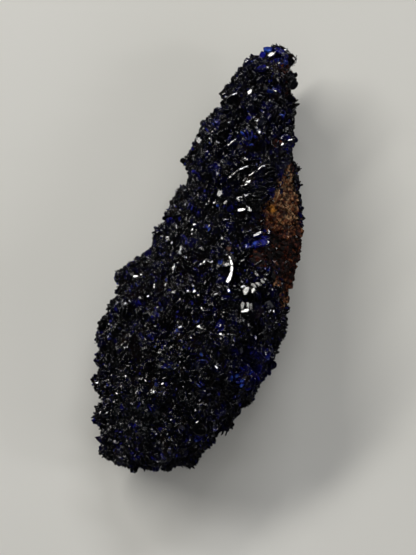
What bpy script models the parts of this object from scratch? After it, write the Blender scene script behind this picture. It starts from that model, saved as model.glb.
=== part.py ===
"""Azurite specimen: a fin-shaped piece of brown iron-oxide rock, grown over with azurite crystals.

Metres, +Z up. The specimen lies on the bare rock of its back. +Y runs along its length, from the broad
foot to the narrow tip, and +X to the flank where the crust has broken away and the rock shows. The origin
is under the middle of its box, on the surface that it lies on.
"""

import bisect
import itertools
import math
import random

import bmesh
import bpy
from mathutils import Matrix, Vector, noise

MM = 0.001

# The skin that the crystals stand on, foot to tip, in millimetres. Each row is a section across the fin: its
# place along Y, its left and right edges, its crest's X and height, its edges' height, and its underside's.
CRUST_SECTIONS = (
    (-20.5, -3.4, -1.0, -2.0, 6.0, 4.8, 3.4),
    (-19.3, -4.1, 1.9, -0.9, 7.6, 4.7, 2.4),
    (-17.8, -4.6, 4.0, -0.3, 8.7, 4.6, 1.7),
    (-15.0, -5.6, 4.9, 0.2, 9.8, 4.4, 1.2),
    (-11.0, -7.0, 6.4, 1.4, 11.2, 4.4, 1.0),
    (-7.0, -7.2, 7.1, 2.4, 12.2, 4.4, 1.0),
    (-3.0, -7.2, 7.2, 3.0, 12.6, 4.4, 1.0),
    (-1.0, -6.0, 6.9, 3.1, 12.4, 4.4, 1.0),
    (3.0, -5.3, 6.4, 2.8, 11.8, 4.4, 1.0),
    (6.2, -4.4, 5.4, 2.2, 11.0, 4.6, 1.0),
    (8.0, -5.0, 4.8, 1.8, 11.1, 4.8, 1.1),
    (10.0, -4.9, 3.7, 1.0, 10.4, 5.0, 1.4),
    (13.0, -4.0, 2.0, -0.3, 9.4, 5.4, 2.2),
    (17.0, -3.4, 0.9, -0.9, 8.7, 5.8, 3.4),
    (19.2, -2.6, 0.5, -1.0, 8.2, 6.0, 4.2),
    (20.5, -2.0, 0.0, -1.1, 7.4, 6.2, 5.2),
)
# The rock inside it, in the same columns. It stands out below the crust, and shows at the flank.
ROCK_SECTIONS = (
    (-17.2, -2.6, 1.0, -0.6, 5.6, 4.2, 0.6),
    (-13.0, -4.0, 3.2, 0.2, 7.4, 4.4, -1.5),
    (-8.0, -5.2, 5.0, 1.2, 9.2, 4.8, -2.1),
    (-3.0, -5.2, 6.4, 2.4, 10.6, 5.2, -2.2),
    (1.0, -4.0, 7.1, 3.2, 10.9, 5.6, -2.2),
    (4.0, -3.4, 6.6, 3.2, 10.3, 5.6, -2.2),
    (7.0, -3.2, 5.6, 2.8, 9.4, 5.4, -2.0),
    (9.5, -3.2, 4.2, 1.8, 8.4, 5.2, -1.4),
    (12.0, -2.4, 1.7, 0.0, 7.4, 5.0, 0.6),
    (15.4, -1.6, -0.2, -0.8, 6.6, 5.4, 3.6),
)
REST_HEIGHT = 0.0  # the broken back is worn flat here, and the specimen lies on it

# The relief of the broken rock: its knobs, and how far ledges, pits and grit go in and out
KNOB_SPACING = 2.6
KNOB_HEIGHT = 0.8
LEDGE = 0.24
PIT = 1.1
GRIT = 0.45

# Mesh fineness: points round a section, and rings of points along the fin
CRUST_ROUND, CRUST_ALONG = 26, 36
ROCK_ROUND, ROCK_ALONG = 30, 30

# The gap between the crust and the rock that it grew on, and the gap between the crust and the surface below
ROOT_GAP = 0.36
FLOOR_GAP = 0.5

# The bare patch on the right flank, as seen from above: the crust's broken edge, from foot to tip
PATCH_EDGE = (
    (8.9, -2.4),
    (6.3, -0.6),
    (5.2, 1.0),
    (3.4, 1.4),
    (3.7, 2.8),
    (2.4, 4.6),
    (2.0, 6.6),
    (2.7, 8.6),
    (3.2, 10.2),
    (8.9, 11.6),
)
PATCH_RAGGED = 0.35  # how far the broken edge wanders from those points
PATCH_FLOOR = 3.2  # height of the patch's lower edge at Y = 0: below it the crust of the back comes round
PATCH_RISE = 0.10  # how much that edge climbs for each millimetre of Y
FLANK_STEP = 1.5  # how far the rock steps in under that edge, to leave room for the crust

# The lumps of the skin itself, where crystals grew in tufts
LUMP_SPACING = 3.2
LUMP_HEIGHT = 1.1

# The crystals: how far apart they stand, in millimetres, and their other sizes as shares of that
SPACING_FINE = 2.4
SPACING_BOLD = 3.1
SPACING_TIP = 2.0
TIP_FROM = 14  # the Y from which they shrink towards the tip
CRYSTAL_RADIUS = (0.58, 0.80)
CRYSTAL_HEIGHT = (0.22, 0.44)
CRYSTAL_TAPER = (0.30, 0.70)
CRYSTAL_FLATNESS = (0.45, 0.85)
CRYSTAL_SIDES = (4, 4, 5)
CRYSTAL_LEAN = 36  # degrees off the skin's normal, at most
CRYSTAL_SLANT = 0.5
ROOT_DEPTH = 0.6  # how deep a crystal is rooted in the skin
CRYSTAL_FREE = 1.3  # a crystal on the underside needs this much height over the surface below
BOLD_PLACE = Vector((4.0, 1.0, 11.0))  # the largest crystals grow round here
BOLD_REACH = 9.0
SEED = 41
ORDER_WAY = Vector((1, 0.755, 0.57))  # elements are sorted along this, a way in which no two of them tie
WELD = 0.01  # corners closer than this, in millimetres, are made one after the cuts


def new_material(name, colour, roughness):
    material = bpy.data.materials.new(name)
    material.use_nodes = True
    shader = material.node_tree.nodes["Principled BSDF"]
    shader.inputs["Base Color"].default_value = (*colour, 1)
    shader.inputs["Roughness"].default_value = roughness
    shader.inputs["Metallic"].default_value = 0
    return material


def new_collection(name):
    collection = bpy.data.collections.new(name)
    bpy.context.scene.collection.children.link(collection)
    return collection


def new_object(name, bm, collection):
    """An object from a bmesh in millimetres."""
    bmesh.ops.scale(bm, verts=bm.verts, vec=(MM, MM, MM))
    bmesh.ops.recalc_face_normals(bm, faces=bm.faces)
    mesh = bpy.data.meshes.new(name)
    bm.to_mesh(mesh)
    bm.free()
    made = bpy.data.objects.new(name, mesh)
    collection.objects.link(made)
    return made


def section_at(sections, y):
    """The section at y, on cubics through the rows whose slope at a row is that between its neighbours."""
    places = [row[0] for row in sections]
    i = min(max(bisect.bisect(places, y) - 1, 0), len(places) - 2)
    before, after = sections[max(i - 1, 0)], sections[min(i + 2, len(places) - 1)]
    low, high = sections[i], sections[i + 1]
    span = high[0] - low[0]
    t = (y - low[0]) / span
    values = []
    for a, b, c, d in zip(before[1:], low[1:], high[1:], after[1:]):
        slope_low = (c - a) / (high[0] - before[0]) * span
        slope_high = (d - b) / (after[0] - low[0]) * span
        values.append(
            b * (2 * t**3 - 3 * t**2 + 1)
            + slope_low * (t**3 - 2 * t**2 + t)
            + c * (3 * t**2 - 2 * t**3)
            + slope_high * (t**3 - t**2)
        )
    return values


def fin(sections, around, along):
    """A closed lump through the sections: a sphere whose poles are its ends and whose rings are sections."""
    bm = bmesh.new()
    bmesh.ops.create_uvsphere(bm, u_segments=around, v_segments=along, radius=1)
    foot, tip = sections[0][0], sections[-1][0]
    for vert in bm.verts:
        share = math.asin(max(-1, min(1, vert.co.z))) / (math.pi / 2)
        spread = 0.6 * share + 0.4 * vert.co.z
        y = foot + (tip - foot) * (spread + 1) / 2
        turn = math.atan2(vert.co.y, vert.co.x)
        closing = math.sqrt(max(0, 1 - abs(spread) ** 20))
        left, right, crest_x, crest_z, edge_z, under_z = section_at(sections, y)
        middle = (left + right) / 2
        pole_x = crest_x if turn > 0 else middle
        side = right - pole_x if math.cos(turn) > 0 else pole_x - left
        lift = crest_z - edge_z if turn > 0 else edge_z - under_z
        x = pole_x + side * math.cos(turn)
        z = edge_z + lift * math.sin(turn)
        vert.co = (middle + (x - middle) * closing, y, edge_z + (z - edge_z) * closing)
    bmesh.ops.triangulate(bm, faces=bm.faces, quad_method="FIXED")
    bmesh.ops.recalc_face_normals(bm, faces=bm.faces)
    bm.normal_update()
    return bm


def roughen(bm, relief):
    """Moves each point along its normal by relief(point), in millimetres."""
    moves = [(vert, vert.normal * relief(vert.co)) for vert in bm.verts]
    for vert, move in moves:
        vert.co += move
    bm.normal_update()


def rock_relief(point):
    """Broken rock: knobs, ledges, pits, and a gritty break."""
    knob = KNOB_HEIGHT * (0.5 - noise.voronoi(point / KNOB_SPACING)[0][0])
    ledge = LEDGE * math.floor(3 * noise.noise(point * 0.42) + 0.5)
    pit = -PIT * max(0, noise.noise(point * 0.7 + Vector((7, 3, 5))) - 0.1)
    grit = GRIT * noise.noise(point * 1.3)
    return knob + ledge + pit + grit


def crust_relief(point):
    """The lumps of the skin, on low swells."""
    nearest = noise.voronoi(point / LUMP_SPACING)[0][0]
    return LUMP_HEIGHT * (0.55 - nearest) + 0.25 * noise.noise(point * 0.3)


def step_in(bm):
    """Sets the rock's right flank back below the bare patch, where the crust grew round from the back."""
    for vert in bm.verts:
        edge = PATCH_FLOOR + PATCH_RISE * vert.co.y
        depth = min(max((edge + 0.4 - vert.co.z) / 0.8, 0), 1)
        reach = min(max(vert.co.x / 3, 0), 1)
        vert.co.x -= FLANK_STEP * depth * reach
    bm.normal_update()


def rock_shape(swelling=0.0):
    """The rock, worn flat where it lies, or with swelling the pocket that it needs in the crust."""
    bm = fin(ROCK_SECTIONS, ROCK_ROUND, ROCK_ALONG)
    step_in(bm)
    roughen(bm, rock_relief)
    roughen(bm, lambda point: swelling)
    for vert in bm.verts:
        vert.co.z = max(vert.co.z, REST_HEIGHT - swelling)
    return bm


def spacing_at(point):
    """Crystals grow largest round the middle of the right side, and smallest at the tip."""
    boldness = max(0, 1 - (point - BOLD_PLACE).length / BOLD_REACH)
    tipness = min(max((point.y - TIP_FROM) / 3, 0), 1)
    bolder = (SPACING_BOLD - SPACING_FINE) * boldness
    finer = (SPACING_FINE - SPACING_TIP) * tipness
    return SPACING_FINE + bolder - finer


def put_in_order(bm):
    """Sorts a mesh's elements by place, because Blender's order for them isn't the same in each run."""
    bm.verts.sort(key=lambda vert: vert.co.dot(ORDER_WAY))
    bm.edges.sort(key=lambda edge: (edge.verts[0].co + edge.verts[1].co).dot(ORDER_WAY))
    bm.faces.sort(key=lambda face: face.calc_center_median().dot(ORDER_WAY))


def scattered(bm, rng, tries=9000):
    """Spots all over a skin, no two closer than the spacing there, as (place, outward normal)."""
    put_in_order(bm)
    sums = list(itertools.accumulate(face.calc_area() for face in bm.faces))
    bm.faces.ensure_lookup_table()
    spots = []
    for _ in range(tries):
        face = bm.faces[bisect.bisect(sums, rng.random() * sums[-1])]
        a, b = sorted((rng.random(), rng.random()))
        corners = sorted((vert.co for vert in face.verts), key=ORDER_WAY.dot)
        place = corners[0] * a + corners[1] * (b - a) + corners[2] * (1 - b)
        least = spacing_at(place)
        if face.normal.z < -0.3 and place.z < FLOOR_GAP + CRYSTAL_FREE:
            continue
        if all((place - other).length > least for other, _ in spots):
            spots.append((place, face.normal.copy()))
    return spots


def add_crystal(bm, place, normal, rng):
    """A stubby crystal: a flattened prism that narrows to one slanting flat end, rooted in the skin."""
    size = spacing_at(place)
    radius = size * rng.uniform(*CRYSTAL_RADIUS)
    height = size * rng.uniform(*CRYSTAL_HEIGHT) + ROOT_DEPTH
    taper = rng.uniform(*CRYSTAL_TAPER)
    flatness = rng.uniform(*CRYSTAL_FLATNESS)
    slant = rng.uniform(-CRYSTAL_SLANT, CRYSTAL_SLANT)
    lean_way = rng.uniform(0, 2 * math.pi)
    lean = math.radians(rng.uniform(0.2, 1) * CRYSTAL_LEAN)
    made = bmesh.ops.create_cone(
        bm,
        cap_ends=True,
        segments=rng.choice(CRYSTAL_SIDES),
        radius1=radius,
        radius2=radius * taper,
        depth=height,
    )
    stand = (
        Matrix.Translation(place)
        @ normal.to_track_quat("Z", "Y").to_matrix().to_4x4()
        @ Matrix.Rotation(lean_way, 4, "Z")
        @ Matrix.Rotation(lean, 4, "X")
        @ Matrix.Rotation(rng.uniform(0, 2 * math.pi), 4, "Z")
        @ Matrix.Translation((0, 0, height / 2 - ROOT_DEPTH))
        @ Matrix.Diagonal((1, flatness, 1, 1))
        @ Matrix.Shear("YZ", 4, (0, slant))
    )
    bmesh.ops.transform(bm, verts=made["verts"], matrix=stand)


def ragged(points, rng):
    """The outline with a point added to the middle of each short side, and moved a little off it."""
    made = []
    for here, there in zip(points, points[1:] + points[:1]):
        made.append(here)
        if math.dist(here, there) < 4:
            wander = (rng.uniform(-PATCH_RAGGED, PATCH_RAGGED), rng.uniform(-PATCH_RAGGED, PATCH_RAGGED))
            made.append([(a + b) / 2 + w for a, b, w in zip(here, there, wander)])
    return made


def patch_cutter(cutters, rng):
    """The prism that takes the crust off the right flank: the patch's outline, extruded in Z."""
    top = 20
    edge = ragged(PATCH_EDGE, rng)
    outline = bpy.data.curves.new("flank_patch", "CURVE")
    outline.dimensions = "2D"
    outline.fill_mode = "BOTH"
    outline.extrude = (top - PATCH_FLOOR) / 2 * MM
    spline = outline.splines.new("POLY")
    spline.points.add(len(edge) - 1)
    for point, (x, y) in zip(spline.points, edge):
        point.co = (x * MM, y * MM, 0, 1)
    spline.use_cyclic_u = True
    flat = bpy.data.objects.new("flank_patch_outline", outline)
    cutters.objects.link(flat)
    flat.location.z = (top + PATCH_FLOOR) / 2 * MM
    bpy.context.view_layer.update()
    evaluated = flat.evaluated_get(bpy.context.evaluated_depsgraph_get())
    mesh = bpy.data.meshes.new_from_object(evaluated)
    bm = bmesh.new()
    bm.from_mesh(mesh)
    bm.transform(flat.matrix_world)
    bmesh.ops.remove_doubles(bm, verts=bm.verts, dist=0.001 * MM)
    bmesh.ops.scale(bm, verts=bm.verts, vec=(1 / MM, 1 / MM, 1 / MM))
    for vert in bm.verts:
        if vert.co.z < top - 1:
            vert.co.z += PATCH_RISE * vert.co.y + rng.uniform(-PATCH_RAGGED, PATCH_RAGGED)
    bmesh.ops.triangulate(bm, faces=bm.faces)
    bpy.data.objects.remove(flat)
    return new_object("flank_patch", bm, cutters)


def floor_cutter(cutters):
    """A block that keeps the crust's crystals off the surface that the specimen lies on."""
    bm = bmesh.new()
    depth = 6
    stand = Matrix.Translation((0, 0, FLOOR_GAP - depth / 2)) @ Matrix.Diagonal((40, 60, depth, 1))
    bmesh.ops.create_cube(bm, size=1, matrix=stand)
    return new_object("floor_block", bm, cutters)


def join(target, other, operation):
    """A Boolean of two solids. The other one is a helper, and isn't part of the specimen."""
    other.hide_render = True
    other.display_type = "WIRE"
    modifier = target.modifiers.new(f"{operation.lower()}_{other.name}", "BOOLEAN")
    modifier.operation = operation
    modifier.solver = "EXACT"
    modifier.use_self = operation == "UNION"
    modifier.object = other


def island_of(start):
    """All the vertices that edges lead to from this one."""
    found, waiting = {start}, [start]
    while waiting:
        for edge in waiting.pop().link_edges:
            for vert in edge.verts:
                if vert not in found:
                    found.add(vert)
                    waiting.append(vert)
    return found


def settle(target):
    """Applies the cuts and joins, and drops the crumbs that they leave loose, so that one body stays."""
    evaluated = target.evaluated_get(bpy.context.evaluated_depsgraph_get())
    bm = bmesh.new()
    bm.from_mesh(bpy.data.meshes.new_from_object(evaluated))
    put_in_order(bm)
    bmesh.ops.remove_doubles(bm, verts=bm.verts, dist=WELD * MM)
    bmesh.ops.dissolve_degenerate(bm, edges=bm.edges, dist=WELD * MM)
    left, largest = set(bm.verts), set()
    while left:
        island = island_of(left.pop())
        left -= island
        largest = max(largest, island, key=len)
    bmesh.ops.delete(bm, geom=[vert for vert in bm.verts if vert not in largest], context="VERTS")
    bmesh.ops.triangulate(bm, faces=bm.faces)
    target.modifiers.clear()
    bm.to_mesh(target.data)
    bm.free()


def centre(parts):
    """Moves the solids so that the middle of the box round them all is over the origin."""
    across = [vert.co.x for part in parts for vert in part.data.vertices]
    along = [vert.co.y for part in parts for vert in part.data.vertices]
    shift = Vector((min(across) + max(across), min(along) + max(along), 0)) / -2
    for part in parts:
        part.data.transform(Matrix.Translation(shift))


def main():
    for old in list(bpy.data.objects):
        bpy.data.objects.remove(old)
    specimen = new_collection("azurite_specimen")
    cutters = new_collection("cutters")
    rng = random.Random(SEED)

    rock = new_object("matrix_rock", rock_shape(), specimen)
    rock.data.materials.append(new_material("limonite", (0.16, 0.06, 0.025), 0.85))

    skin = fin(CRUST_SECTIONS, CRUST_ROUND, CRUST_ALONG)
    roughen(skin, crust_relief)
    crystals = bmesh.new()
    for place, normal in scattered(skin, rng):
        add_crystal(crystals, place, normal, rng)
    crust = new_object("azurite_crust", skin, specimen)
    crust.data.materials.append(new_material("azurite", (0.01, 0.015, 0.12), 0.2))
    join(crust, new_object("crystals", crystals, cutters), "UNION")
    join(crust, new_object("rock_pocket", rock_shape(ROOT_GAP), cutters), "DIFFERENCE")
    join(crust, patch_cutter(cutters, rng), "DIFFERENCE")
    join(crust, floor_cutter(cutters), "DIFFERENCE")
    settle(crust)
    centre((crust, rock))


main()
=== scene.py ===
import math
import random

import bmesh
import bpy
import numpy as np
from mathutils import Matrix, Vector, noise
from mathutils.bvhtree import BVHTree


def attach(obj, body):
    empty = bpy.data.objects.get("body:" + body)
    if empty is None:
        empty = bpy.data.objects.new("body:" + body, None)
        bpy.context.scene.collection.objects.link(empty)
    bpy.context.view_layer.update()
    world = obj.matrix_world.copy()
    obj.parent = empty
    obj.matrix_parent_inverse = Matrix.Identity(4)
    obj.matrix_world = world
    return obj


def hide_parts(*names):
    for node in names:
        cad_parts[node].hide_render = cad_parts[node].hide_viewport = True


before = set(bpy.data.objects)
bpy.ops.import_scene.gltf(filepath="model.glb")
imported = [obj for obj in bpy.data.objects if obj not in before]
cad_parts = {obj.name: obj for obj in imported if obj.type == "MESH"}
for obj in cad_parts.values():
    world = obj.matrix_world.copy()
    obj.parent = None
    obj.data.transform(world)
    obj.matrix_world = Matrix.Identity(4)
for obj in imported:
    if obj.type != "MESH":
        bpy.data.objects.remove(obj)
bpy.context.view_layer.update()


# ---- Matrix rock ----
# The iron-oxide rock that the azurite grew on: limonite with red hematite in it, granular and dull. It broke out
# of its vein, so the bare flank and back are rough breaks full of pits, and ochre where they weathered most.
MM = 0.001  # every other length is in millimetres
ROCK_VOXEL = 0.12  # how fine the rock's mesh is
HIDDEN_SHARE = 0.12  # the share of its triangles that the rock keeps where the crust hides it
CRUST_OVER = 2.2  # the rock is hidden where the crust lies within this distance over it
RAY_LIFT = 0.05  # how far off a surface such a distance is measured from
REST_HEIGHT = 0.0  # the height of what the specimen lies on: nothing goes below it
REST_BAND = 0.12  # up to this height the rock rests, and nothing grows on it
ROCK_SWELL = 0.34  # how far the rock goes out under the crust's rim, to meet the crystals that grew on it
CRUST_NEAR = 0.75  # how near the crust the rock swells, and single crystals of the crust stand on it
SWELL_OVER, FRINGE_OVER = 0.35, 0.4  # over what distance the swelling and those crystals come to their full
GRIT_SPACING, GRIT_HEIGHT = 0.36, 0.26
KNOB_SPACING, KNOB_HEIGHT = 1.3, 0.24
PIT_SPACING, PIT_DEPTH = 0.8, 0.5
PIT_LEVEL, PIT_RANGE = 0.28, 0.4  # pits open where their noise passes the first, and deepen over the second
# The rock's outer edge near the tip, where crystals stand too: its way out, how far out it lies, and from what Y.
# Past the second Y it lies further in, by up to the step.
EDGE_WAY = Vector((0.942, 0.336, 0))
EDGE_OUT, EDGE_FROM = 7.35, 6
EDGE_STEP, EDGE_STEP_FROM = 0.45, 8.5
PATCH_FOOT, PATCH_TOP = -4, 12  # where the bare patch starts and ends along Y
# How light the rock is from the patch's foot to its top: rusty, then almost black, then ochre, then dark
# Rust and ochre are weathering; the almost black band is painted shade, and the lighter top is partly painted light
# from above
WEATHERING_AND_PAINTED_LIGHT = ((0.0, 0.4), (0.2, 0.5), (0.33, 0.16), (0.46, 0.16), (0.58, 0.34), (0.74, 0.62), (0.88, 0.54),
              (1.0, 0.1))
OCHRE_SPOT = (3.1, 6.5, 0.0)
OCHRE_FULL, OCHRE_END = 0.2, 0.5  # how far round that spot the ochre is full, and where it ends


def linear(code):
    """An sRGB hex colour as the linear red, green, blue and alpha that a shader takes."""
    parts = [int(code[i:i + 2], 16) / 255 for i in (1, 3, 5)]
    return (*(p / 12.92 if p <= 0.04045 else ((p + 0.055) / 1.055) ** 2.4 for p in parts), 1)


def unit(value):
    """A number held between 0 and 1."""
    return max(0.0, min(1.0, value))


def add(tree, kind, inputs=None, **settings):
    """Adds a node with its own settings. Each of its inputs is a value, or the socket that leads into it."""
    made = tree.nodes.new(kind)
    for name, value in settings.items():
        setattr(made, name, value)
    for key, value in (inputs or {}).items():
        if isinstance(value, bpy.types.NodeSocket):
            tree.links.new(value, made.inputs[key])
        else:
            made.inputs[key].default_value = value
    return made


def maths(tree, operation, *values):
    """A math node on those values."""
    return add(tree, "ShaderNodeMath", dict(enumerate(values)), operation=operation).outputs[0]


def mapped(tree, value, low, high, first=0.0, last=1.0):
    """What goes from first to last while a value goes from low to high."""
    return add(tree, "ShaderNodeMapRange", {"Value": value, "From Min": low, "From Max": high, "To Min": first,
                                            "To Max": last}).outputs[0]


def mixed(tree, factor, first, second, blend="MIX"):
    """Two colours, blended."""
    return add(tree, "ShaderNodeMix", {0: factor, 6: first, 7: second}, data_type="RGBA",
               blend_type=blend).outputs[2]


def new_material(name):
    """A material with an empty tree, and its tree."""
    material = bpy.data.materials.new(name)
    material.use_nodes = True
    material.node_tree.nodes.clear()
    return material, material.node_tree


def mottled(tree, coords, scale, detail, roughness=0.5):
    """Noise over those coordinates, with that many lumps to a millimetre."""
    return add(tree, "ShaderNodeTexNoise", {"Vector": coords, "Scale": scale / MM, "Detail": detail,
                                            "Roughness": roughness}).outputs[0]


def ramp(tree, factor, *stops):
    """A colour ramp through stops of (place, hex colour)."""
    made = add(tree, "ShaderNodeValToRGB", {"Fac": factor})
    elements = made.color_ramp.elements
    for element, (place, code) in zip(elements, stops):
        element.position = place
        element.color = linear(code)
    for place, code in stops[2:]:
        elements.new(place).color = linear(code)
    return made.outputs["Color"]


def merged(node):
    """The corners and triangles of a CAD node, with the corners that touch made one."""
    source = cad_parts[node].data
    corners = np.empty(len(source.vertices) * 3)
    source.vertices.foreach_get("co", corners)
    corners, index = np.unique(corners.reshape(-1, 3).round(7), axis=0, return_inverse=True)
    index = index.reshape(-1)
    return corners.tolist(), [[int(index[v]) for v in face.vertices] for face in source.polygons]


def new_piece(name, mesh):
    """A mesh as an object of the scene."""
    made = bpy.data.objects.new(name, mesh)
    bpy.context.scene.collection.objects.link(made)
    return made


def apply_modifiers(piece):
    """Turns what the modifiers make into the piece's own mesh, and removes them."""
    graph = bpy.context.evaluated_depsgraph_get()
    made = bpy.data.meshes.new_from_object(piece.evaluated_get(graph))
    made.name = piece.name
    piece.modifiers.clear()
    piece.data = made


def remeshed(name, node, voxel):
    """A CAD node's form as a new piece with an even, fine mesh."""
    mesh = bpy.data.meshes.new(name)
    mesh.from_pydata(merged(node)[0], [], merged(node)[1])
    piece = new_piece(name, mesh)
    remesh = piece.modifiers.new("remesh", "REMESH")
    remesh.mode = "VOXEL"
    remesh.voxel_size = voxel * MM
    apply_modifiers(piece)
    return piece


def normals_of(piece):
    """Each corner's normal, read before a corner moves, as they are worked out anew after that."""
    return [Vector(normal.vector) for normal in piece.data.vertex_normals]


def moved(piece, amount):
    """Moves each corner along its normal by amount(place in mm, normal), in mm."""
    for vert, normal in zip(piece.data.vertices, normals_of(piece)):
        vert.co += normal * amount(vert.co / MM, normal) * MM
        vert.co.z = max(vert.co.z, REST_HEIGHT * MM)


def store(piece, name, values):
    """Stores one number for each corner, for a node tree to read."""
    attribute = piece.data.attributes.new(name, "FLOAT", "POINT")
    attribute.data.foreach_set("value", np.array(values, np.float32))


crust_tree = BVHTree.FromPolygons(*merged("azurite_crust"))
rock_tree = BVHTree.FromPolygons(*merged("matrix_rock"))


def meets(surface, place, normal, lift, reach):
    """Whether a ray from just over a place, given in mm, meets that surface within reach."""
    start = (place + normal * lift) * MM
    return surface.ray_cast(start, normal, reach * MM)[0] is not None


def rock_relief(place, normal):
    """How far the rock goes out at a place: its swelling by the crust, its grit, knobs and pits."""
    near = crust_tree.find_nearest(place * MM)[3] / MM
    swell = ROCK_SWELL * unit((CRUST_NEAR - near) / SWELL_OVER)
    grit = (0.45 - noise.voronoi(place / GRIT_SPACING)[0][0]) * GRIT_HEIGHT
    knob = noise.noise(place / KNOB_SPACING) * KNOB_HEIGHT
    pit = max(0.0, noise.noise(place / PIT_SPACING + Vector((7, 3, 1))) - PIT_LEVEL) * PIT_DEPTH / PIT_RANGE
    return swell + grit + (knob - pit) * (1 - swell / ROCK_SWELL)


def uncovered(piece):
    """For each corner, 1 where no crust lies over it, and 0 elsewhere and where the rock rests."""
    return [0.0 if meets(crust_tree, v.co / MM, n, RAY_LIFT, CRUST_OVER) or v.co.z < REST_BAND * MM else 1.0
            for v, n in zip(piece.data.vertices, normals_of(piece))]


rock = remeshed("matrix_surface", "matrix_rock", ROCK_VOXEL)
hidden = rock.vertex_groups.new(name="hidden")
hidden.add([i for i, open_here in enumerate(uncovered(rock)) if not open_here], 1.0, "REPLACE")
thin = rock.modifiers.new("thin", "DECIMATE")
thin.ratio = HIDDEN_SHARE
thin.vertex_group = "hidden"
apply_modifiers(rock)
rock.vertex_groups.clear()
moved(rock, rock_relief)

# Single crystals of the crust stand on the rock along the crust's rim, and along its own outer edge near the tip
bare = uncovered(rock)
fringe_room, grain_room = [], []
for vert, open_here in zip(rock.data.vertices, bare):
    near = crust_tree.find_nearest(vert.co)[3] / MM
    step = EDGE_STEP * unit(vert.co.y / MM - EDGE_STEP_FROM)
    beyond = vert.co.dot(EDGE_WAY) / MM - EDGE_OUT + step
    on_edge = 1.0 if vert.co.y > EDGE_FROM * MM and beyond > 0 else 0.0
    fringe_room.append(open_here * max(on_edge, unit((CRUST_NEAR - near) / FRINGE_OVER)))
    grain_room.append(open_here * (1 - on_edge))
store(rock, "blue", [0.0] * len(bare))
store(rock, "fringe", fringe_room)
store(rock, "grain_room", grain_room)
store(rock, "size", [1.0] * len(bare))

# Limonite, broken and weathered: an earthy, light-drinking brown whose grains differ a little in colour, with a
# few glints where a grain broke along a flat. The grains are 0.2 to 0.4 mm, and the stains some 2 mm.
limonite, tree = new_material("limonite_broken")
coords = add(tree, "ShaderNodeTexCoord").outputs["Object"]
place = add(tree, "ShaderNodeSeparateXYZ", {0: coords})
stain = mottled(tree, coords, 0.45, 5.0, 0.62)
speck = mottled(tree, coords, 2.6, 2.0)
cells = add(tree, "ShaderNodeTexVoronoi", {"Vector": coords, "Scale": 1 / (GRIT_SPACING * MM)})
own = add(tree, "ShaderNodeAttribute", attribute_name="tint")
zone = mapped(tree, place.outputs["Y"], PATCH_FOOT * MM, PATCH_TOP * MM)
# The tone along the patch: its weathering, with painted shade in the almost black band and painted light at the top
aged_and_painted_light = add(tree, "ShaderNodeFloatCurve", {"Value": zone})
curve = aged_and_painted_light.mapping.curves[0]
for point, stop in zip(curve.points, (WEATHERING_AND_PAINTED_LIGHT[0], WEATHERING_AND_PAINTED_LIGHT[-1])):
    point.location = stop
for stop in WEATHERING_AND_PAINTED_LIGHT[1:-1]:
    curve.points.new(*stop)
aged_and_painted_light.mapping.update()
stain_and_painted_light = maths(tree, "MULTIPLY_ADD", stain, 1.0, aged_and_painted_light.outputs[0])
varied = maths(tree, "MULTIPLY_ADD", own.outputs["Fac"], 0.34, stain_and_painted_light)
grainy = maths(tree, "MULTIPLY_ADD", speck, 1.3, varied)
shade = ramp(tree, maths(tree, "SUBTRACT", grainy, 1.2), (0.0, "#060100"), (0.24, "#230702"), (0.46, "#471c0e"),
             (0.66, "#7a4a2a"), (0.86, "#b8926c"))
# A spot of yellow ochre near the crust's rim
flat = add(tree, "ShaderNodeVectorMath", {0: coords, 1: (1.0, 1.0, 0.0)}, operation="MULTIPLY").outputs[0]
from_ochre = add(tree, "ShaderNodeVectorMath", {0: flat, 1: tuple(c * MM for c in OCHRE_SPOT)},
                 operation="DISTANCE").outputs["Value"]
ochre_where = mapped(tree, from_ochre, OCHRE_FULL * MM, OCHRE_END * MM, 0.8, 0.0)
shade = mixed(tree, ochre_where, shade, linear("#c8842c"))
# The grooves between the grit grains are darkened in the colour: painted shade
painted_groove_shade = mapped(tree, cells.outputs["Distance"], 0.3, 0.7, 1.15, 0.15)
colour = mixed(tree, 1.0, shade, painted_groove_shade, "MULTIPLY")
rough = mapped(tree, own.outputs["Fac"], 0.6, 0.9, 0.75, 0.16)
bump = add(tree, "ShaderNodeBump", {"Height": speck, "Strength": 0.9, "Distance": 0.07 * MM})
shader = add(tree, "ShaderNodeBsdfPrincipled", {"Base Color": colour, "Roughness": rough, "Normal": bump.outputs[0],
                                                "IOR": 1.5, "Specular IOR Level": 0.35})
add(tree, "ShaderNodeOutputMaterial", {"Surface": shader.outputs[0]})
rock.data.materials.append(limonite)
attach(rock, "root")
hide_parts("matrix_rock")


# ---- Grains on the rock ----
# The rock's own grains, 0.2 to 0.5 mm lumps of iron oxide that stand half out of the broken surface. The tree
# that scatters them also grows the azurite crystals, which root in their surface and lean in the same way.
GRAIN_KINDS = 6
GRAIN_FLATS = 7  # the flats broken at random on each kind, besides the five that keep it in size
GRAIN_REACH = (0.34, 0.56)  # how far from its middle those flats lie
CUT_BLOCK = 6  # the block that a shape is cut from. The shape is about 1 tall, and is sized where it grows
MERGE, SLIVER = 0.012, 0.004  # corners this close become one, and edges this short go
SPOTS_TRIED = 3.0  # how many spots are tried for each square of the spacing
TUFT_LEAN = 3.2  # how much the lean that a tuft shares counts against each crystal's own
TUFT_TURN, OWN_TURN = 9.0, 1.3  # how far a tuft and a single crystal turn about their length, in radians
ACROSS, THROUGH = (0.75, 1.3), (0.65, 1.3)  # a crystal's width and thickness against its shape's, least and most
FOOT_SHARE = 0.45  # the share of its size that a crystal's foot may reach down
TINT_SPREAD, TINT_FROM = 0.32, 0.68  # the tints of crystals where the surface is blue


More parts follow.
